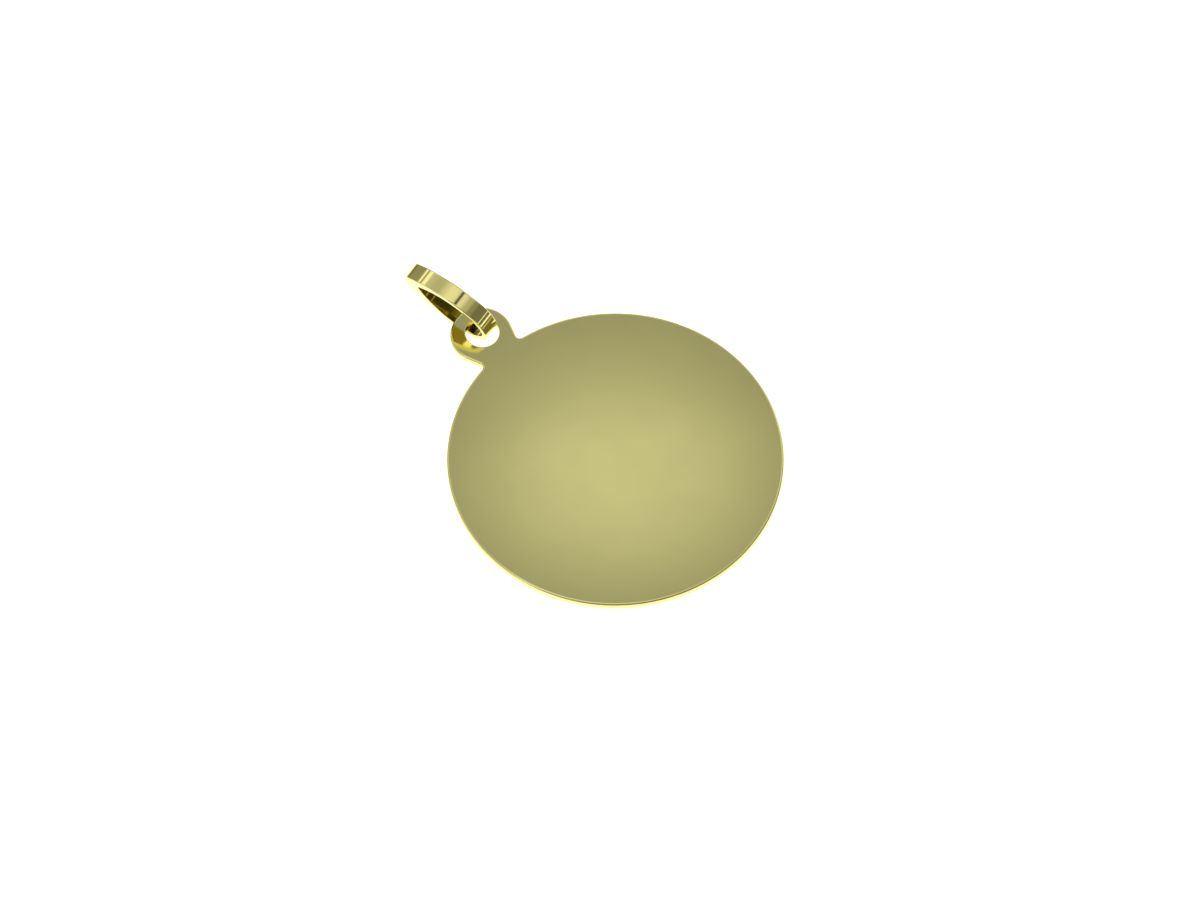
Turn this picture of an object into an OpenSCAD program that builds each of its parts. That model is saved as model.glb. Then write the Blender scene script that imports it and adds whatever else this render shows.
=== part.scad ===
// Disc pendant: a thin engraving disc with an ear, and an oval bail of flat strip
// threaded through the ear. It is modelled as it lies: the disc's far rim and the bail's
// underside rest on z = 0, and the ear points along +Y.

/* [Disc] */
// Diameter of the disc
disc_d = 20; // [16:0.5:24]
// Thickness of the sheet
disc_t = 0.5; // [0.4:0.05:0.6]
// Radius of the softened edge all round the sheet
edge_r = 0.14; // [0.05:0.01:0.18]

/* [Ear] */
// Radius of the ear's round end
ear_r = 1.88; // [1.7:0.02:2]
// How far the middle of the round end stands outside the disc's rim
ear_out = 1.66; // [1.5:0.02:1.8]
// Where the straight sides of the neck leave the round end, in degrees below its middle
ear_side_deg = 36; // [30:1:40]
// Width of the neck where its sides run onto the disc's rim
neck_w = 2.74; // [2.4:0.02:2.8]
// Radius of the small hollow corners between the neck and the disc
neck_fillet_r = 0.25; // [0.2:0.01:0.3]
// Diameter of the hole through the ear
hole_d = 2.02; // [1.95:0.01:2.1]
// How far the hole is set outward of the middle of the round end
hole_out = 0.06; // [0:0.02:0.14]
// How far the hole is punched to one side of that middle
hole_side = 0.12; // [0:0.02:0.14]
// Softening of the hole's two rims
hole_edge = 0.05; // [0.02:0.01:0.08]

/* [Bail] */
// Outer radius of the oval ring's two long sides
bail_side_r = 5.04; // [4.9:0.02:5.2]
// Outer radius of the ring's free end
bail_far_r = 0.56; // [0.5:0.02:0.62]
// Where a long side runs into the free end, in degrees from the ring's long axis
bail_far_deg = 44.5; // [43:0.5:46]
// Where a long side runs into the end that passes through the ear, in degrees
bail_near_deg = 99; // [97:0.5:101]
// Width of the strip
bail_w = 1.1; // [0.95:0.05:1.15]
// Thickness of the strip
bail_t = 0.36; // [0.3:0.01:0.4]
// Bevel along the strip's four edges
bail_edge = 0.08; // [0.03:0.01:0.1]

/* [Pose] */
// How far the bail is turned sideways from the ear's line, in degrees
bail_yaw = 9.9; // [8:0.1:12]
// How far the bail leans over to its side, in degrees
bail_lean = 10; // [9:0.1:12]
// How far the bail's free end is raised, in degrees
bail_pitch = 15.9; // [15:0.1:17]
// Middle of the ring from the hole's middle, measured across, along and up
bail_at = [0.31, 2.475, 0.8];
// How far the disc tips up at the ear, in degrees, because the bail lies under it
rest_tip = 2.26; // [2.1:0.02:2.5]
// How far the disc tips sideways, in degrees
rest_roll = 0; // [-0.1:0.02:0.1]

/* [Hidden] */
$fn = 160;
disc_r = disc_d / 2;
ear_y = disc_r + ear_out;
hole_r = hole_d / 2;
hole_y = ear_y + hole_out;
edge_step = 30;
spare = 1;
gold = [0.80, 0.76, 0.42];
pale_gold = [0.86, 0.83, 0.52];

// How far a softened edge stands in from the outline, going up through the sheet
function edge_inset(r, t) = concat(
    [for (a = [0 : edge_step : 90]) [r * (1 - sin(a)), r * (1 - cos(a))]],
    [for (a = [90 : -edge_step : 0]) [r * (1 - sin(a)), t - r * (1 - cos(a))]]
);

// The side of the neck: it starts on the ear's round end and runs down to the disc
side_top = [ear_r * cos(ear_side_deg), ear_y - ear_r * sin(ear_side_deg)];
side_foot = [neck_w / 2, disc_r];
side_len = norm(side_top - side_foot);
side_dir = (side_top - side_foot) / side_len;
side_out = [side_dir[1], -side_dir[0]];

// The middle of the hollow corner bites a hair into the side and into the rim
bite = 0.01;
corner_q = side_foot + side_out * (neck_fillet_r - bite);
corner_m = side_dir * corner_q;
corner_reach = disc_r + neck_fillet_r - bite;
corner_s = sqrt(corner_m * corner_m - corner_q * corner_q + corner_reach * corner_reach) - corner_m;
corner_at = corner_q + side_dir * corner_s;
corner_foot = corner_at - side_out * (neck_fillet_r - bite);
corner_rim = corner_at * (disc_r - 2 * edge_r) / norm(corner_at);

// The oval ring: two round ends and two long sides that run into them without a corner
far_leg = bail_side_r - bail_far_r;
side_dy = far_leg * sin(bail_far_deg);
near_leg = side_dy / sin(bail_near_deg);
near_r = bail_side_r - near_leg;
far_dx = far_leg * cos(bail_far_deg);
near_dx = near_leg * cos(bail_near_deg);
side_x = (near_r - bail_far_r - near_dx - far_dx) / 2;

// The round ends stand this much proud, so that they cross the long sides cleanly
proud = 0.003;

// Where the whole thing stands, so that the origin is under its middle
rest_shift = [0, -3.552, 0.8884];

// A round plate with softened rims, its underside on z = 0
module round_plate(r, t, edge) {
    rotate_extrude()
        polygon(concat(
            [[0, 0]],
            [for (p = edge_inset(edge, t)) [r - p[0], p[1]]],
            [[0, t]]
        ));
}

// A tool that leaves a hollow round corner with softened rims
module round_cutter(r, t, edge) {
    rotate_extrude()
        polygon(concat(
            [[0, -spare], [r + edge, -spare]],
            [for (p = edge_inset(edge, t)) [r + p[0], p[1]]],
            [[r + edge, t + spare], [0, t + spare]]
        ));
}

// A tool that softens the neck's straight side
module side_cutter() {
    turn = atan2(side_dir[1], side_dir[0]);
    translate([side_foot[0], side_foot[1], 0])
        rotate([90, 0, turn + 90])
            translate([0, 0, -spare])
                linear_extrude(height = side_len + 2 * spare)
                    polygon(concat(
                        [[-spare, -spare], [edge_r, -spare]],
                        [for (p = edge_inset(edge_r, disc_t)) [p[0], p[1]]],
                        [[edge_r, disc_t + spare], [-spare, disc_t + spare]]
                    ));
}

// One half of the neck, on the side of +X
module neck_half() {
    difference() {
        linear_extrude(height = disc_t)
            polygon([
                [0, ear_y],
                side_top,
                corner_foot,
                corner_at,
                corner_rim,
                [0, disc_r - spare]
            ]);
        translate([corner_at[0], corner_at[1], 0])
            round_cutter(neck_fillet_r, disc_t, edge_r);
        side_cutter();
    }
}

// The sheet, its upper face on z = 0 and the disc's middle at the origin
module plate() {
    translate([0, 0, -disc_t])
        difference() {
            union() {
                round_plate(disc_r, disc_t, edge_r);
                translate([0, ear_y, 0])
                    round_plate(ear_r, disc_t, edge_r);
                neck_half();
                mirror([1, 0, 0])
                    neck_half();
            }
            translate([hole_side, hole_y, 0])
                round_cutter(hole_r, disc_t, hole_edge);
        }
}

// A round blank as wide as the strip, with bevelled rims
module blank(r) {
    half = bail_w / 2;
    rotate_extrude()
        polygon([
            [0, -half],
            [r - bail_edge, -half],
            [r, bail_edge - half],
            [r, half - bail_edge],
            [r - bail_edge, half],
            [0, half]
        ]);
}

// A tool for a round opening through the strip's width, with bevelled rims
module opening(r) {
    half = bail_w / 2;
    out_r = r + bail_edge + spare;
    rotate_extrude()
        polygon([
            [0, -half - spare],
            [out_r, -half - spare],
            [r, bail_edge - half],
            [r, half - bail_edge],
            [out_r, half + spare],
            [0, half + spare]
        ]);
}

// The part of the oval between the places where the long sides meet the round ends
module middle(inset) {
    x_from = side_x + (bail_side_r - inset) * cos(bail_near_deg);
    x_to = side_x + (bail_side_r - inset) * cos(bail_far_deg);
    translate([x_from, -bail_side_r, -bail_side_r])
        cube([x_to - x_from, 2 * bail_side_r, 2 * bail_side_r]);
}

// The ring in the XY plane, its free end along +X
module ring() {
    difference() {
        union() {
            intersection() {
                middle(0);
                translate([side_x, -side_dy, 0])
                    blank(bail_side_r);
                translate([side_x, side_dy, 0])
                    blank(bail_side_r);
            }
            translate([side_x + near_dx, 0, 0])
                blank(near_r + proud);
            translate([side_x + far_dx, 0, 0])
                blank(bail_far_r + proud);
        }
        intersection() {
            middle(bail_t);
            translate([side_x, -side_dy, 0])
                opening(bail_side_r - bail_t);
            translate([side_x, side_dy, 0])
                opening(bail_side_r - bail_t);
        }
        translate([side_x + near_dx, 0, 0])
            opening(near_r - bail_t + proud);
        translate([side_x + far_dx, 0, 0])
            opening(bail_far_r - bail_t + proud);
    }
}

// The pose of the whole pendant at rest
module at_rest() {
    translate(rest_shift)
        rotate([rest_tip, rest_roll, 0])
            children();
}

module disc() {
    color(gold)
        at_rest()
            plate();
}

module bail() {
    color(pale_gold)
        at_rest()
            translate([hole_side, hole_y, 0])
                rotate([0, -bail_lean, bail_yaw])
                    translate(bail_at)
                        rotate([bail_pitch, 0, 0])
                            rotate([90, 0, 90])
                                ring();
}

disc();
bail();
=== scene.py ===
"""Disc pendant: a thin polished engraving disc with an ear, and an oval bail of flat strip.

The pendant lies on a pale floor, its disc tipped a little because the bail lies under the
ear. The pieces' sizes are in millimetres in the classes' fields and turn into metres as
meshes are made. The studio's distances are in metres, and the glow and the fold on the
reflector are in millimetres on its card.
"""

import logging
import math
from dataclasses import dataclass
from enum import Enum

import bmesh
import bpy
from mathutils import Matrix, Vector


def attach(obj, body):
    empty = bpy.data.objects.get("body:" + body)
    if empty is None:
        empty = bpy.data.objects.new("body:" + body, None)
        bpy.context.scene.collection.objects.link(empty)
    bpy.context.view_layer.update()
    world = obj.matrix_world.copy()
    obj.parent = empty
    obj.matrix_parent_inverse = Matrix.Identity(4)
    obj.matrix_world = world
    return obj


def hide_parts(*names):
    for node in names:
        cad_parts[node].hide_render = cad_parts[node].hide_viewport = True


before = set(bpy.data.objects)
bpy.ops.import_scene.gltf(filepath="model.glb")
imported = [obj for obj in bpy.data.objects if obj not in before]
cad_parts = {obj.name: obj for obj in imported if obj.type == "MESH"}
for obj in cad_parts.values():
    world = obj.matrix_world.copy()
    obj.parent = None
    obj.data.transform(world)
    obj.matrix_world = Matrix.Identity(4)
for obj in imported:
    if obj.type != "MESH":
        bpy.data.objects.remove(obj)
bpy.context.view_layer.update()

MM = 0.001
WELD = 0.0005 * MM
ACROSS = Vector((1.0, 0.0, 0.0))
UP = Vector((0.0, 0.0, 1.0))
QUARTER_TURN = 90.0
HALF_TURN = 180.0
FULL_TURN = 360.0
BODY = "root"
# Attribute that marks the bail strip's inner face, where shade is painted into the gold's colour.
HOLLOW_SHADE = "hollow"
IMAGE_PX = (1200, 901)

Chain = list[bmesh.types.BMVert | bmesh.types.BMEdge]
Rgba = tuple[float, float, float, float]

log = logging.getLogger("disc_pendant")


def grey(level: float) -> Rgba:
    """Return a neutral colour of the given level."""
    return (level, level, level, 1.0)


class Slot(Enum):
    """The record's material slots."""

    DISC = "disc"
    BAIL = "bail"


class Grain(Enum):
    """Which way the buffing wheel ran over a piece, as the scale of its hairlines' pattern."""

    ALONG_X = (0.04, 1.0, 1.0)
    ALONG_Y = (1.0, 0.04, 1.0)


@dataclass(frozen=True)
class RestPose:
    """How the pendant lies: from the disc's own frame to the shared frame.

    In the disc's own frame its upper face is z = 0, its middle is the origin and the ear
    points along +Y.
    """

    tip_deg: float = 2.26
    roll_deg: float = 0.0
    shift_mm: tuple[float, float, float] = (0.0, -3.552, 0.8884)

    def matrix(self) -> Matrix:
        """Work out the pose.

        Returns:
            The pose as one matrix, in metres.
        """
        turn_x = Matrix.Rotation(math.radians(self.tip_deg), 4, "X")
        turn_y = Matrix.Rotation(math.radians(self.roll_deg), 4, "Y")
        return Matrix.Translation(Vector(self.shift_mm) * MM) @ turn_y @ turn_x


class Pen:
    """Draws a chain of edges with straight and round strokes."""

    def __init__(self, bm: bmesh.types.BMesh, start: Vector) -> None:
        """Put the pen down.

        Args:
            bm: The mesh to draw in.
            start: Where the chain starts, in metres.
        """
        self.bm = bm
        self.tip = bmesh.ops.create_vert(bm, co=start)["vert"][0]
        self.chain: Chain = [self.tip]

    def line(self, step: Vector) -> None:
        """Draw a straight stroke.

        Args:
            step: The stroke's direction and length, in metres.
        """
        made = bmesh.ops.extrude_vert_indiv(self.bm, verts=[self.tip])
        self.tip = made["verts"][0]
        bmesh.ops.translate(self.bm, verts=[self.tip], vec=step)
        self.chain += [*made["edges"], self.tip]

    def arc(self, centre: Vector, axis: Vector, turn_deg: float, steps: int) -> None:
        """Draw a round stroke.

        Args:
            centre: The arc's centre, in metres.
            axis: The axis that the stroke turns about.
            turn_deg: How far it turns, in degrees.
            steps: How many edges stand for it.
        """
        before = set(self.bm.verts) | set(self.bm.edges)
        made = bmesh.ops.spin(
            self.bm,
            geom=[self.tip],
            cent=centre,
            axis=axis,
            angle=math.radians(turn_deg),
            steps=steps,
        )
        ends = [item for item in made["geom_last"] if isinstance(item, bmesh.types.BMVert)]
        self.tip = ends[0]
        self.chain += [item for item in [*self.bm.verts, *self.bm.edges] if item not in before]


class Sweep:
    """Carries a drawn chain along a path, one stroke after another."""

    def __init__(self, bm: bmesh.types.BMesh, chain: Chain) -> None:
        """Start from a drawn chain.

        Args:
            bm: The mesh that holds the chain.
            chain: The chain's vertices and edges.
        """
        self.bm = bm
        self.front = chain

    def turn(self, centre: Vector, axis: Vector, turn_deg: float, steps: int) -> None:
        """Sweep the chain round an axis.

        Args:
            centre: A point on the axis, in metres.
            axis: The axis's direction.
            turn_deg: How far to turn, in degrees.
            steps: How many rows of faces stand for the turn.
        """
        made = bmesh.ops.spin(
            self.bm,
            geom=self.front,
            cent=centre,
            axis=axis,
            angle=math.radians(turn_deg),
            steps=steps,
        )
        self.front = made["geom_last"]

    def push(self, step: Vector) -> None:
        """Sweep the chain straight along.

        Args:
            step: The direction and length, in metres.
        """
        edges = [item for item in self.front if isinstance(item, bmesh.types.BMEdge)]
        made = bmesh.ops.extrude_edge_only(self.bm, edges=edges)
        new = made["geom"]
        verts = [item for item in new if isinstance(item, bmesh.types.BMVert)]
        moved = set(verts)
        bmesh.ops.translate(self.bm, verts=verts, vec=step)
        self.front = verts + [
            item
            for item in new
            if isinstance(item, bmesh.types.BMEdge) and moved.issuperset(item.verts)
        ]


@dataclass(frozen=True)
class PolishedGold:
    """Mirror-polished pale yellow gold, with the marks that a buffing wheel leaves, and painted shade
    in a strip's hollow when a shade tint is given.
    """

    name: str
    tint: tuple[float, float, float]
    warm_tint: tuple[float, float, float]
    roughness: float
    roughness_swing: float
    hairline_depth: float
    wave_depth: float
    grain: Grain
    # Colour of the painted shade on the strip's inner face; None paints no shade.
    hollow_shade_tint: tuple[float, float, float] | None = None
    cloud_scale: float = 260.0
    cloud_detail: float = 3.0
    patch_scale: float = 420.0
    patch_detail: float = 4.0
    patch_range: tuple[float, float] = (0.3, 0.7)
    hairline_scale: float = 30000.0
    hairline_detail: float = 2.0
    wave_scale: float = 70.0

    def material(self) -> bpy.types.Material:
        """Build the finish's node tree.

        Returns:
            The finished material.
        """
        made = bpy.data.materials.new(self.name)
        made.use_nodes = True
        tree = made.node_tree
        shader = tree.nodes["Principled BSDF"]
        shader.inputs["Metallic"].default_value = 1.0
        place = tree.nodes.new("ShaderNodeTexCoord")
        self._colour(tree, place, shader)
        self._gloss(tree, place, shader)
        self._surface(tree, place, shader)
        return made

    def _colour(self, tree: bpy.types.NodeTree, place: bpy.types.Node, shader: bpy.types.Node) -> None:
        """Cloud the gold faintly between its two tints, and darken the strip's hollow with painted
        shade.

        Args:
            tree: The material's node tree.
            place: The node that gives the place on the piece.
            shader: The metal's shader.
        """
        nodes, links = tree.nodes, tree.links
        cloud = nodes.new("ShaderNodeTexNoise")
        cloud.inputs["Scale"].default_value = self.cloud_scale
        cloud.inputs["Detail"].default_value = self.cloud_detail
        blend = nodes.new("ShaderNodeMix")
        blend.data_type = "RGBA"
        blend.inputs["A"].default_value = (*self.tint, 1.0)
        blend.inputs["B"].default_value = (*self.warm_tint, 1.0)
        links.new(place.outputs["Object"], cloud.inputs["Vector"])
        links.new(cloud.outputs["Fac"], blend.inputs["Factor"])
        if self.hollow_shade_tint is None:
            links.new(blend.outputs["Result"], shader.inputs["Base Color"])
            return
        # Painted shade: the marked inner face takes the dark shade tint in place of the gold.
        where = nodes.new("ShaderNodeAttribute")
        where.attribute_name = HOLLOW_SHADE
        shade_mix = nodes.new("ShaderNodeMix")
        shade_mix.data_type = "RGBA"
        shade_mix.inputs["B"].default_value = (*self.hollow_shade_tint, 1.0)
        links.new(where.outputs["Fac"], shade_mix.inputs["Factor"])
        links.new(blend.outputs["Result"], shade_mix.inputs["A"])
        links.new(shade_mix.outputs["Result"], shader.inputs["Base Color"])

    def _gloss(self, tree: bpy.types.NodeTree, place: bpy.types.Node, shader: bpy.types.Node) -> None:
        """Let the polish be a little finer in some places than in others.

        Args:
            tree: The material's node tree.
            place: The node that gives the place on the piece.
            shader: The metal's shader.
        """
        nodes, links = tree.nodes, tree.links
        patches = nodes.new("ShaderNodeTexNoise")
        patches.inputs["Scale"].default_value = self.patch_scale
        patches.inputs["Detail"].default_value = self.patch_detail
        spread = nodes.new("ShaderNodeMapRange")
        spread.inputs["From Min"].default_value = self.patch_range[0]
        spread.inputs["From Max"].default_value = self.patch_range[1]
        spread.inputs["To Min"].default_value = self.roughness - self.roughness_swing
        spread.inputs["To Max"].default_value = self.roughness + self.roughness_swing
        links.new(place.outputs["Object"], patches.inputs["Vector"])
        links.new(patches.outputs["Fac"], spread.inputs["Value"])
        links.new(spread.outputs["Result"], shader.inputs["Roughness"])

    def _surface(self, tree: bpy.types.NodeTree, place: bpy.types.Node, shader: bpy.types.Node) -> None:
        """Add buffing hairlines over the sheet's own long, shallow waves.

        Args:
            tree: The material's node tree.
            place: The node that gives the place on the piece.
            shader: The metal's shader.
        """
        nodes, links = tree.nodes, tree.links
        stretch = nodes.new("ShaderNodeMapping")
        stretch.inputs["Scale"].default_value = self.grain.value
        hairs = nodes.new("ShaderNodeTexNoise")
        hairs.inputs["Scale"].default_value = self.hairline_scale
        hairs.inputs["Detail"].default_value = self.hairline_detail
        hair_bump = nodes.new("ShaderNodeBump")
        hair_bump.inputs["Strength"].default_value = 1.0
        hair_bump.inputs["Distance"].default_value = self.hairline_depth * MM
        waves = nodes.new("ShaderNodeTexNoise")
        waves.inputs["Scale"].default_value = self.wave_scale
        waves.inputs["Detail"].default_value = 0.0
        wave_bump = nodes.new("ShaderNodeBump")
        wave_bump.inputs["Strength"].default_value = 1.0
        wave_bump.inputs["Distance"].default_value = self.wave_depth * MM
        links.new(place.outputs["Object"], stretch.inputs["Vector"])
        links.new(stretch.outputs["Vector"], hairs.inputs["Vector"])
        links.new(hairs.outputs["Fac"], hair_bump.inputs["Height"])
        links.new(place.outputs["Object"], waves.inputs["Vector"])
        links.new(waves.outputs["Fac"], wave_bump.inputs["Height"])
        links.new(hair_bump.outputs["Normal"], wave_bump.inputs["Normal"])
        links.new(wave_bump.outputs["Normal"], shader.inputs["Normal"])


@dataclass
class Piece:
    """What every piece of the pendant has: a name, a slot, a finish and the pose it lies in."""

    name: str
    node: str
    slot: Slot
    finish: PolishedGold
    rest: RestPose

    def draw(self, bm: bmesh.types.BMesh) -> None:
        """Draw the piece's mesh in the disc's own frame."""
        raise NotImplementedError

    def build(self) -> bpy.types.Object:
        """Make the piece's object, dress it and hang it on the frame.

        Returns:
            The finished object, at the origin with its place in its mesh.
        """
        bm = bmesh.new()
        self.draw(bm)
        bmesh.ops.transform(bm, matrix=self.rest.matrix(), verts=bm.verts)
        bmesh.ops.recalc_face_normals(bm, faces=bm.faces)
        for face in bm.faces:
            face.smooth = True
        mesh = bpy.data.meshes.new(self.name)
        bm.to_mesh(mesh)
        bm.free()
        mesh.materials.append(self.finish.material())
        made = bpy.data.objects.new(self.name, mesh)
        bpy.context.scene.collection.objects.link(made)
        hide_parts(self.node)
        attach(made, BODY)
        return made


@dataclass
class EngravingDisc(Piece):
    """The thin disc with its neck and pierced ear, stamped from one sheet."""

    disc_r: float = 10.0
    thick: float = 0.5
    edge_r: float = 0.14
    ear_r: float = 1.88
    ear_out: float = 1.66
    neck_w: float = 2.74
    corner_r: float = 0.25
    hole_r: float = 1.01
    hole_out: float = 0.06
    hole_side: float = 0.12
    hole_edge_r: float = 0.05
    flat_border: float = 0.02
    edge_steps: int = 7
    corner_steps: int = 24
    ear_steps: int = 120
    disc_steps: int = 420
    hole_steps: int = 128
    face_play: float = 0.01

    def _rim(self, bm: bmesh.types.BMesh, at: Vector, inward: Vector, edge_r: float) -> Chain:
        """Draw the rounded edge of the sheet as a chain, from its upper face to its lower one.

        Args:
            bm: The mesh to draw in.
            at: The edge's place on the outline, on the upper face, in millimetres.
            inward: The direction from the outline into the metal.
            edge_r: The radius of the rounding, in millimetres.

        Returns:
            The chain's vertices and edges.
        """
        axis = inward.cross(UP)
        pen = Pen(bm, (at + inward * (edge_r + self.flat_border)) * MM)
        pen.line(-inward * self.flat_border * MM)
        upper = (at + inward * edge_r - UP * edge_r) * MM
        pen.arc(upper, axis, QUARTER_TURN, self.edge_steps)
        pen.line(-UP * (self.thick - 2 * edge_r) * MM)
        lower = (at + inward * edge_r - UP * (self.thick - edge_r)) * MM
        pen.arc(lower, axis, QUARTER_TURN, self.edge_steps)
        pen.line(inward * self.flat_border * MM)
        return pen.chain

    def draw(self, bm: bmesh.types.BMesh) -> None:
        """Sweep the rim round the outline and round the hole, and close both faces.

        Args:
            bm: The mesh to draw in.
        """
        ear = Vector((0.0, self.disc_r + self.ear_out, 0.0))
        foot = Vector((self.neck_w / 2, self.disc_r, 0.0))
        reach = foot - ear
        side = -math.atan2(reach.y, reach.x) - math.acos(self.ear_r / reach.length)
        side_deg = math.degrees(side)
        side_out = Vector((math.cos(side), -math.sin(side), 0.0))
        side_up = Vector((-side_out.y, side_out.x, 0.0))

        start = ear + side_out * (self.ear_r + self.corner_r)
        along = ear.dot(side_up)
        room = along**2 - start.length_squared + (self.disc_r + self.corner_r) ** 2
        side_len = along - math.sqrt(room)
        corner = start - side_up * side_len
        corner_deg = math.degrees(math.atan2(corner.y, corner.x))
        other_corner = Vector((-corner.x, corner.y, 0.0))
        other_down = Vector((side_up.x, -side_up.y, 0.0))

        rim_at = corner.normalized() * self.disc_r
        sweep = Sweep(bm, self._rim(bm, rim_at, -corner.normalized(), self.edge_r))
        sweep.turn(corner * MM, UP, -side_deg - corner_deg, self.corner_steps)
        sweep.push(side_up * side_len * MM)
        sweep.turn(ear * MM, UP, HALF_TURN + 2 * side_deg, self.ear_steps)
        sweep.push(other_down * side_len * MM)
        sweep.turn(other_corner * MM, UP, -side_deg - corner_deg, self.corner_steps)
        sweep.turn(Vector(), UP, HALF_TURN + 2 * corner_deg, self.disc_steps)

        hole = ear + Vector((self.hole_side, self.hole_out, 0.0))
        wall = Sweep(bm, self._rim(bm, hole + ACROSS * self.hole_r, ACROSS, self.hole_edge_r))
        wall.turn(hole * MM, UP, FULL_TURN, self.hole_steps)
        bmesh.ops.remove_doubles(bm, verts=bm.verts, dist=WELD)
        self._close(bm)

    def _close(self, bm: bmesh.types.BMesh) -> None:
        """Fill the upper and the lower face between the outer rim and the hole's rim.

        Args:
            bm: The mesh that holds both swept rims.
        """
        for level, normal in ((0.0, UP), (-self.thick * MM, -UP)):
            loops = [
                edge
                for edge in bm.edges
                if edge.is_boundary and abs(edge.verts[0].co.z - level) < self.face_play * MM
            ]
            bmesh.ops.triangle_fill(bm, edges=loops, use_beauty=True, normal=normal)


@dataclass
class OvalBail(Piece):
    """The closed oval ring of flat strip that goes through the ear."""

    side_r: float = 5.04
    far_r: float = 0.56
    far_deg: float = 44.5
    near_deg: float = 99.0
    strip_w: float = 1.1
    strip_t: float = 0.36
    edge_r: float = 0.08
    corner_fill: float = 0.65
    # Where the painted shade on the inner face starts along the ring, in millimetres, and how steep a
    # face may be to get it.
    shade_from: float = -1.0
    shade_slope: float = 0.5
    flat_border: float = 0.012
    edge_steps: int = 5
    far_steps: int = 40
    side_steps: int = 90
    near_steps: int = 80
    yaw_deg: float = 9.9
    lean_deg: float = 10.0
    pitch_deg: float = 15.9
    middle: tuple[float, float, float] = (0.31, 2.475, 0.8)
    hole: tuple[float, float, float] = (0.12, 11.72, 0.0)

    def pose(self) -> Matrix:
        """Work out the ring's place.

        Returns:
            Its place in the disc's own frame, in metres.
        """
        quarter = math.radians(QUARTER_TURN)
        stand = Matrix.Rotation(quarter, 4, "Z") @ Matrix.Rotation(quarter, 4, "X")
        pitch = Matrix.Rotation(math.radians(self.pitch_deg), 4, "X")
        yaw = Matrix.Rotation(math.radians(self.yaw_deg), 4, "Z")
        lean = Matrix.Rotation(-math.radians(self.lean_deg), 4, "Y")
        middle = Matrix.Translation(Vector(self.middle) * MM)
        hole = Matrix.Translation(Vector(self.hole) * MM)
        return hole @ yaw @ lean @ middle @ pitch @ stand

    def _section(self, bm: bmesh.types.BMesh, at: Vector, inward: Vector) -> Chain:
        """Draw the strip's cross-section, a flat oblong with rounded corners.

        Args:
            bm: The mesh to draw in.
            at: The middle of the strip's outer face, in millimetres.
            inward: The direction from the outer face to the inner one.

        Returns:
            The section's vertices and edges.
        """
        axis = inward.cross(UP)
        border = self.flat_border
        wide = self.strip_w - 2 * self.edge_r
        deep = self.strip_t - 2 * self.edge_r
        corner = at + inward * self.edge_r + UP * (wide / 2)
        pen = Pen(bm, (corner - inward * self.edge_r) * MM)
        sides = ((inward, deep), (-UP, wide), (-inward, deep), (UP, wide))
        for heading, length in sides:
            pen.arc(corner * MM, axis, -QUARTER_TURN, self.edge_steps)
            pen.line(heading * border * MM)
            pen.line(heading * (length - 2 * border) * MM)
            pen.line(heading * border * MM)
            corner = corner + heading * length
        return pen.chain

    def draw(self, bm: bmesh.types.BMesh) -> None:
        """Sweep the cross-section round the ring's four arcs and set the ring in the ear.

        Args:
            bm: The mesh to draw in.
        """
        far_turn, near_turn = math.radians(self.far_deg), math.radians(self.near_deg)
        far_leg = self.side_r - self.far_r
        side_y = far_leg * math.sin(far_turn)
        near_leg = side_y / math.sin(near_turn)
        near_r = self.side_r - near_leg
        far_x = far_leg * math.cos(far_turn)
        near_x = near_leg * math.cos(near_turn)
        side_x = (near_r - self.far_r - near_x - far_x) / 2
        far = Vector((side_x + far_x, 0.0, 0.0))
        near = Vector((side_x + near_x, 0.0, 0.0))
        upper = Vector((side_x, -side_y, 0.0))
        lower = Vector((side_x, side_y, 0.0))

        out = Vector((math.cos(far_turn), -math.sin(far_turn), 0.0))
        sweep = Sweep(bm, self._section(bm, far + out * self.far_r, -out))
        sweep.turn(far * MM, UP, 2 * self.far_deg, self.far_steps)
        sweep.turn(upper * MM, UP, self.near_deg - self.far_deg, self.side_steps)
        sweep.turn(near * MM, UP, FULL_TURN - 2 * self.near_deg, self.near_steps)
        sweep.turn(lower * MM, UP, self.near_deg - self.far_deg, self.side_steps)
        bmesh.ops.remove_doubles(bm, verts=bm.verts, dist=WELD)
        self._fill_corner(bm, far, upper)
        self._mark_painted_shade(bm)
        bmesh.ops.transform(bm, matrix=self.pose(), verts=bm.verts)

    def _fill_corner(self, bm: bmesh.types.BMesh, far: Vector, upper: Vector) -> None:
        """Thicken the strip inward towards its free end, where solder fills the corner.

        Args:
            bm: The mesh that holds the swept ring.
            far: The centre of the free end, in millimetres.
            upper: The point that the long side at positive Y is curved about, in millimetres.
        """
        inner = []
        for vert in bm.verts:
            at = Vector((vert.co.x, abs(vert.co.y), 0.0)) / MM
            past = at - far
            at_end = math.degrees(math.atan2(past.y, past.x)) < self.far_deg
            if at_end:
                depth = self.far_r - past.length
            else:
                depth = self.side_r - (at - upper).length
            if at.x > upper.x and depth > self.strip_t / 2:
                inner.append(vert)
        room = far.x + self.far_r - self.strip_t - upper.x
        keep = Vector((1.0 - self.corner_fill / room, 1.0, 1.0))
        widest = Matrix.Translation(Vector((-upper.x * MM, 0.0, 0.0)))
        bmesh.ops.scale(bm, vec=keep, space=widest, verts=inner)

    def _mark_painted_shade(self, bm: bmesh.types.BMesh) -> None:
        """Mark the strip's inner face outside the ear, where shade is painted into the gold's colour.

        Args:
            bm: The mesh that holds the ring, before it is set in the ear.
        """
        bmesh.ops.recalc_face_normals(bm, faces=bm.faces)
        mark = bm.faces.layers.float.new(HOLLOW_SHADE)
        for face in bm.faces:
            middle = face.calc_center_median()
            faces_in = face.normal.dot(middle) < 0.0 and abs(face.normal.z) < self.shade_slope
            face[mark] = 1.0 if faces_in and middle.x > self.shade_from * MM else 0.0


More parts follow.
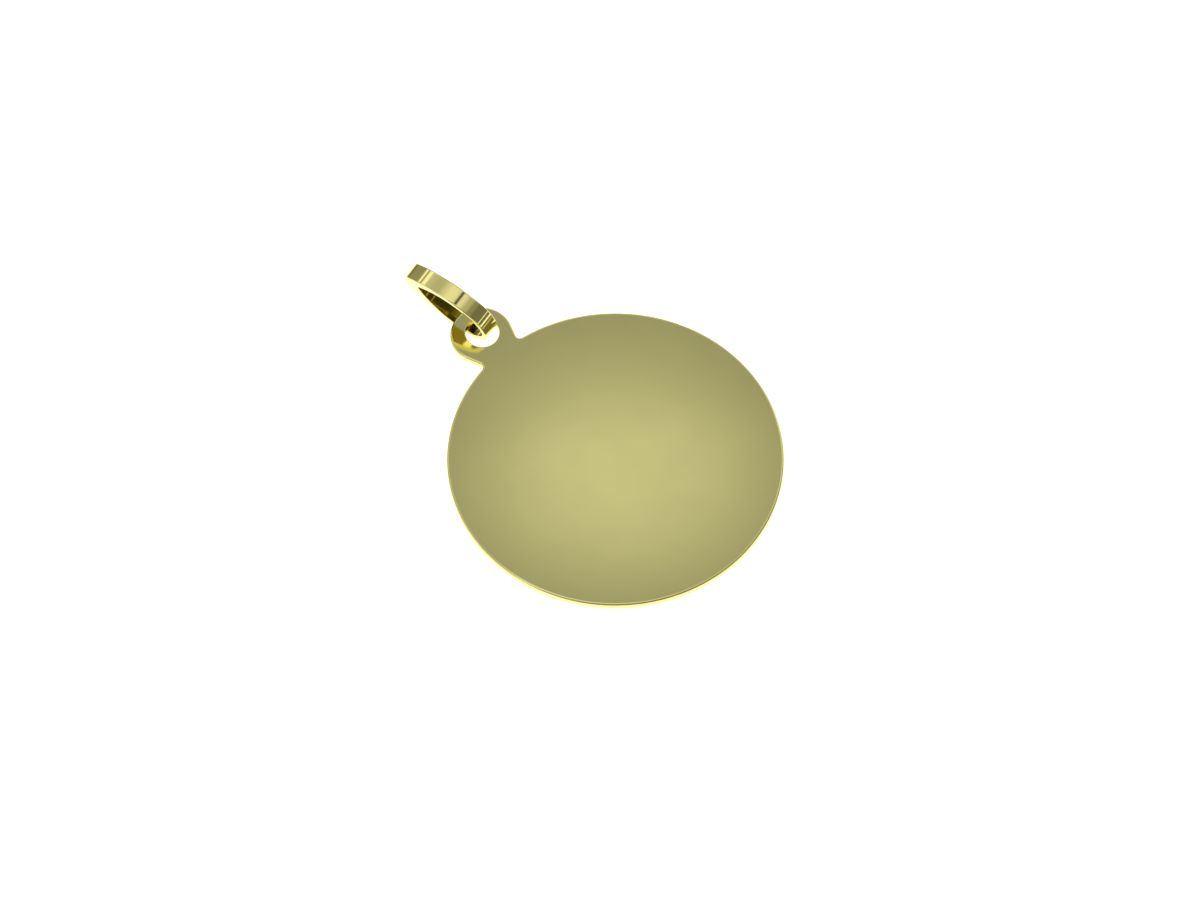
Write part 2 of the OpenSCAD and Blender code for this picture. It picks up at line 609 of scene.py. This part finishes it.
@dataclass(frozen=True)
class Softbox:
    """A soft lamp: a plain bright panel that faces the pendant.

    It hangs on an arc that rises from the floor behind the ear, at 0 degrees, passes over
    the pendant at 90 and comes down in front of the disc at 180.
    """

    name: str
    arc_deg: float
    tall_deg: float
    across_deg: float
    radiance: float
    distance: float = 0.9

    def build(self) -> bpy.types.Object:
        """Hang the lamp.

        Returns:
            The lamp's object.
        """
        arc = math.radians(self.arc_deg)
        towards = Vector((0.0, math.cos(arc), math.sin(arc)))
        lamp = bpy.data.lights.new(self.name, "AREA")
        lamp.shape = "RECTANGLE"
        lamp.size = 2 * self.distance * math.tan(math.radians(self.across_deg / 2))
        lamp.size_y = 2 * self.distance * math.tan(math.radians(self.tall_deg / 2))
        lamp.energy = self.radiance * math.pi * lamp.size * lamp.size_y
        made = bpy.data.objects.new(self.name, lamp)
        turn = Matrix((ACROSS, towards.cross(ACROSS), towards)).transposed().to_4x4()
        made.matrix_world = Matrix.Translation(towards * self.distance) @ turn
        made.visible_camera = False
        bpy.context.scene.collection.objects.link(made)
        return made


@dataclass(frozen=True)
class Panel:
    """A stretch of the studio's paper vault that has one brightness."""

    from_deg: float
    to_deg: float
    level: float


@dataclass(frozen=True)
class Vault:
    """The paper vault over the table, which the polished metal mirrors.

    It rises from the floor behind the ear, at 0 degrees, and comes down in front of the disc
    at 180. Between two panels the paper shades smoothly from one level to the next. Bright
    paper is neutral, and dim paper has less blue.
    """

    panels: tuple[Panel, ...] = (
        Panel(0.0, 5.0, 0.45),
        Panel(9.0, 17.0, 0.19),
        Panel(20.0, 33.0, 0.29),
        Panel(35.0, 35.8, 0.38),
        Panel(36.2, 38.6, 1.15),
        Panel(39.4, 41.2, 0.30),
        Panel(42.4, 46.2, 1.10),
        Panel(48.5, 53.0, 0.57),
        Panel(60.0, 69.0, 0.49),
        Panel(82.0, 90.5, 0.85),
        Panel(93.5, 95.0, 0.76),
        Panel(96.0, 98.8, 0.06),
        Panel(99.6, 104.0, 0.80),
        Panel(109.5, 113.5, 0.47),
        Panel(117.0, 121.0, 0.27),
        Panel(127.0, 155.0, 0.18),
    )
    backdrop_level: float = 1.0
    dim_blue: float = 0.7
    blue_gain: float = 0.5

    def _paper(self, ramp: bpy.types.ColorRamp) -> None:
        """Set the paper's levels along the vault.

        Args:
            ramp: The colours round a full turn, with the floor behind the ear in their middle.
        """
        stops = [(deg, panel.level) for panel in self.panels for deg in (panel.from_deg, panel.to_deg)]
        while len(ramp.elements) < len(stops):
            ramp.elements.new(1.0)
        for element, (deg, level) in zip(ramp.elements, stops):
            blue = level * min(1.0, self.dim_blue + self.blue_gain * level)
            element.position = (HALF_TURN + deg) / FULL_TURN
            element.color = (level, level, blue, 1.0)

    def build(self) -> None:
        """Make the world's shader."""
        world = bpy.data.worlds.new("studio_vault")
        world.use_nodes = True
        nodes, links = world.node_tree.nodes, world.node_tree.links
        place = nodes.new("ShaderNodeTexCoord")
        split = nodes.new("ShaderNodeSeparateXYZ")
        section = nodes.new("ShaderNodeCombineXYZ")
        turn = nodes.new("ShaderNodeTexGradient")
        turn.gradient_type = "RADIAL"
        paper = nodes.new("ShaderNodeValToRGB")
        self._paper(paper.color_ramp)
        seen = nodes.new("ShaderNodeLightPath")
        choice = nodes.new("ShaderNodeMix")
        choice.data_type = "RGBA"
        choice.inputs["B"].default_value = grey(self.backdrop_level)
        links.new(place.outputs["Generated"], split.inputs["Vector"])
        links.new(split.outputs["Y"], section.inputs["X"])
        links.new(split.outputs["Z"], section.inputs["Y"])
        links.new(section.outputs["Vector"], turn.inputs["Vector"])
        links.new(turn.outputs["Fac"], paper.inputs["Fac"])
        links.new(seen.outputs["Is Camera Ray"], choice.inputs["Factor"])
        links.new(paper.outputs["Color"], choice.inputs["A"])
        links.new(choice.outputs["Result"], nodes["Background"].inputs["Color"])
        bpy.context.scene.world = world


@dataclass(frozen=True)
class View:
    """The photograph's view of the disc, in the disc's own frame."""

    heading_deg: float = 43.1
    elevation_deg: float = 60.2
    px_per_mm: float = 16.87
    disc_middle_px: tuple[float, float] = (615.4, 458.09)

    def axes(self) -> tuple[Vector, Vector, Vector]:
        """Work out the picture's axes.

        Returns:
            The directions to the picture's right, to its top and to the camera.
        """
        heading, elevation = math.radians(self.heading_deg), math.radians(self.elevation_deg)
        right = Vector((math.cos(heading), -math.sin(heading), 0.0))
        away = Vector((math.sin(heading), math.cos(heading), 0.0))
        up = away * math.sin(elevation) + UP * math.cos(elevation)
        return right, up, right.cross(up)

    def aim(self) -> Vector:
        """Find what the camera looks at.

        Returns:
            The point of the disc's upper face in the picture's middle, in metres.
        """
        elevation = math.radians(self.elevation_deg)
        right, _, back = self.axes()
        away = Vector((-back.x, -back.y, 0.0)).normalized()
        across = (IMAGE_PX[0] / 2 - self.disc_middle_px[0]) / self.px_per_mm
        along = (self.disc_middle_px[1] - IMAGE_PX[1] / 2) / self.px_per_mm / math.sin(elevation)
        return (right * across + away * along) * MM


@dataclass(frozen=True)
class Reflector:
    """A card over the pendant, lit in its middle, that the disc mirrors to the camera.

    A bowed fold crosses it: the paper is a little brighter just below the fold and a little
    dimmer just above it.
    """

    distance: float = 0.1
    half_size: float = 0.022
    middle: tuple[float, float] = (0.3, -1.1)
    flatness: float = 0.74
    glow_from: float = 1.8
    glow_to: float = 10.4
    middle_level: float = 0.655
    rim_level: float = 0.325
    fold_height: float = 2.73
    fold_slant: float = 0.148
    fold_bow: float = 0.0107
    fold_reach: float = 5.0
    fold_levels: tuple[tuple[float, float], ...] = (
        (-4.0, 1.0),
        (-0.6, 1.06),
        (0.5, 0.94),
        (2.4, 1.0),
        (4.0, 1.05),
    )

    def build(self, view: View, rest: RestPose) -> bpy.types.Object:
        """Hang the card where the disc mirrors it.

        Args:
            view: The camera's view of the disc.
            rest: How the pendant lies.

        Returns:
            The card's object.
        """
        right, up, back = view.axes()
        towards = Vector((-back.x, -back.y, back.z))
        card_up = Vector((up.x, up.y, -up.z))
        turn = Matrix((right, card_up, right.cross(card_up))).transposed().to_4x4()
        bm = bmesh.new()
        bmesh.ops.create_grid(bm, x_segments=1, y_segments=1, size=self.half_size)
        mesh = bpy.data.meshes.new("reflector")
        bm.to_mesh(mesh)
        bm.free()
        mesh.materials.append(self._paper())
        made = bpy.data.objects.new("reflector", mesh)
        made.matrix_world = rest.matrix() @ Matrix.Translation(towards * self.distance) @ turn
        made.visible_camera = False
        made.visible_shadow = False
        made.visible_diffuse = False
        bpy.context.scene.collection.objects.link(made)
        return made

    def _paper(self) -> bpy.types.Material:
        """Make the card's paper.

        Returns:
            The card's glowing material.
        """
        made = bpy.data.materials.new("reflector_paper")
        made.use_nodes = True
        tree = made.node_tree
        nodes, links = tree.nodes, tree.links
        nodes.remove(nodes["Principled BSDF"])
        place = nodes.new("ShaderNodeTexCoord")
        in_mm = nodes.new("ShaderNodeMapping")
        in_mm.inputs["Scale"].default_value = (1 / MM, 1 / MM, 1 / MM)
        links.new(place.outputs["Object"], in_mm.inputs["Vector"])
        level = nodes.new("ShaderNodeMath")
        level.operation = "MULTIPLY"
        links.new(self._glow(tree, in_mm), level.inputs[0])
        links.new(self._fold(tree, in_mm), level.inputs[1])
        shine = nodes.new("ShaderNodeEmission")
        links.new(level.outputs["Value"], shine.inputs["Strength"])
        links.new(shine.outputs["Emission"], nodes["Material Output"].inputs["Surface"])
        return made

    def _glow(self, tree: bpy.types.NodeTree, in_mm: bpy.types.Node) -> bpy.types.NodeSocket:
        """Make the card's round glow.

        Args:
            tree: The material's node tree.
            in_mm: The node that gives the place on the card in millimetres.

        Returns:
            The socket that gives the glow's level.
        """
        nodes, links = tree.nodes, tree.links
        centred = nodes.new("ShaderNodeMapping")
        centred.vector_type = "TEXTURE"
        centred.inputs["Location"].default_value = (*self.middle, 0.0)
        centred.inputs["Scale"].default_value = (1 / self.flatness, 1.0, 1.0)
        radius = nodes.new("ShaderNodeVectorMath")
        radius.operation = "LENGTH"
        glow = nodes.new("ShaderNodeMapRange")
        glow.interpolation_type = "SMOOTHSTEP"
        glow.inputs["From Min"].default_value = self.glow_from
        glow.inputs["From Max"].default_value = self.glow_to
        glow.inputs["To Min"].default_value = self.middle_level
        glow.inputs["To Max"].default_value = self.rim_level
        links.new(in_mm.outputs["Vector"], centred.inputs["Vector"])
        links.new(centred.outputs["Vector"], radius.inputs[0])
        links.new(radius.outputs["Value"], glow.inputs["Value"])
        return glow.outputs["Result"]

    def _fold(self, tree: bpy.types.NodeTree, in_mm: bpy.types.Node) -> bpy.types.NodeSocket:
        """Make the paper's step at the bowed fold.

        Args:
            tree: The material's node tree.
            in_mm: The node that gives the place on the card in millimetres.

        Returns:
            The socket that gives the factor for the glow.
        """
        nodes, links = tree.nodes, tree.links
        split = nodes.new("ShaderNodeSeparateXYZ")
        bow = nodes.new("ShaderNodeMath")
        bow.operation = "MULTIPLY_ADD"
        bow.inputs[1].default_value = self.fold_bow
        bow.inputs[2].default_value = -self.fold_slant
        height = nodes.new("ShaderNodeMath")
        height.operation = "MULTIPLY_ADD"
        along = nodes.new("ShaderNodeMapRange")
        along.inputs["From Min"].default_value = self.fold_height - self.fold_reach
        along.inputs["From Max"].default_value = self.fold_height + self.fold_reach
        step = nodes.new("ShaderNodeValToRGB")
        elements = step.color_ramp.elements
        while len(elements) < len(self.fold_levels):
            elements.new(1.0)
        for element, (place_mm, level) in zip(elements, self.fold_levels):
            element.position = 0.5 + place_mm / self.fold_reach / 2
            element.color = grey(level)
        links.new(in_mm.outputs["Vector"], split.inputs["Vector"])
        links.new(split.outputs["X"], bow.inputs[0])
        links.new(bow.outputs["Value"], height.inputs[0])
        links.new(split.outputs["X"], height.inputs[1])
        links.new(split.outputs["Y"], height.inputs[2])
        links.new(height.outputs["Value"], along.inputs["Value"])
        links.new(along.outputs["Result"], step.inputs["Fac"])
        return step.outputs["Color"]


@dataclass
class Studio:
    """The pale floor, the vault and the reflector over it, the lamp and the camera."""

    rest: RestPose
    view: View
    floor_half: float = 1.6
    floor_white: float = 0.45
    floor_roughness: float = 0.9
    floor_glow: float = 0.96
    camera_distance: float = 1.0
    camera_near: float = 0.05
    camera_far: float = 10.0
    sensor_mm: float = 36.0

    def build_floor(self) -> bpy.types.Object:
        """Lay the floor.

        Returns:
            The floor's object.
        """
        bm = bmesh.new()
        bmesh.ops.create_grid(bm, x_segments=1, y_segments=1, size=self.floor_half)
        mesh = bpy.data.meshes.new("floor")
        bm.to_mesh(mesh)
        bm.free()
        paper = bpy.data.materials.new("floor_paper")
        paper.use_nodes = True
        shader = paper.node_tree.nodes["Principled BSDF"]
        shader.inputs["Base Color"].default_value = grey(self.floor_white)
        shader.inputs["Roughness"].default_value = self.floor_roughness
        shader.inputs["Specular IOR Level"].default_value = 0.0
        shader.inputs["Emission Color"].default_value = grey(1.0)
        shader.inputs["Emission Strength"].default_value = self.floor_glow
        mesh.materials.append(paper)
        made = bpy.data.objects.new("floor", mesh)
        bpy.context.scene.collection.objects.link(made)
        return made

    def build_camera(self) -> bpy.types.Object:
        """Set the camera up at the photograph's angle to the disc, and make it the scene's.

        Returns:
            The camera's object.
        """
        right, up, back = self.view.axes()
        turn = Matrix((right, up, back)).transposed().to_4x4()
        place = Matrix.Translation(self.view.aim() + back * self.camera_distance) @ turn
        camera = bpy.data.cameras.new("camera")
        camera.sensor_width = self.sensor_mm
        picture_width = IMAGE_PX[0] / self.view.px_per_mm * MM
        camera.lens = self.sensor_mm * self.camera_distance / picture_width
        camera.clip_start = self.camera_near
        camera.clip_end = self.camera_far
        made = bpy.data.objects.new("camera", camera)
        made.matrix_world = self.rest.matrix() @ place
        bpy.context.scene.collection.objects.link(made)
        bpy.context.scene.camera = made
        return made

    def build(self, vault: Vault, softbox: Softbox) -> None:
        """Set up the whole studio.

        Args:
            vault: The paper vault round the table.
            softbox: The lamp to hang.
        """
        self.build_floor()
        vault.build()
        Reflector().build(self.view, self.rest)
        self.build_camera()
        softbox.build()
        log.info("lamp %s hung", softbox.name)
        scene = bpy.context.scene
        scene.view_settings.view_transform = "Standard"
        scene.view_settings.look = "None"


def main() -> None:
    """Build the pendant piece by piece, then the studio round it."""
    logging.basicConfig(level=logging.INFO, format="%(name)s: %(message)s")
    rest = RestPose()
    disc_gold = PolishedGold(
        name="disc_gold",
        tint=(0.90, 0.845, 0.345),
        warm_tint=(0.90, 0.84, 0.335),
        roughness=0.10,
        roughness_swing=0.015,
        hairline_depth=0.00002,
        wave_depth=0.004,
        grain=Grain.ALONG_X,
    )
    bail_gold = PolishedGold(
        name="bail_gold",
        tint=(0.92, 0.84, 0.335),
        warm_tint=(0.92, 0.835, 0.325),
        roughness=0.07,
        roughness_swing=0.01,
        hairline_depth=0.00002,
        wave_depth=0.001,
        grain=Grain.ALONG_Y,
        # Painted shade for the strip's inner face, far darker than the gold.
        hollow_shade_tint=(0.20, 0.15, 0.012),
    )
    pieces = (
        EngravingDisc("engraving_disc", "disc", Slot.DISC, disc_gold, rest),
        OvalBail("oval_bail", "bail", Slot.BAIL, bail_gold, rest),
    )
    for piece in pieces:
        made = piece.build()
        log.info("%s built with %d faces", piece.name, len(made.data.polygons))
    strip = Softbox(
        name="front_low_strip",
        arc_deg=165.5,
        tall_deg=3.0,
        across_deg=80.0,
        radiance=1.0,
    )
    Studio(rest, View()).build(Vault(), strip)


if __name__ == "__main__":
    main()
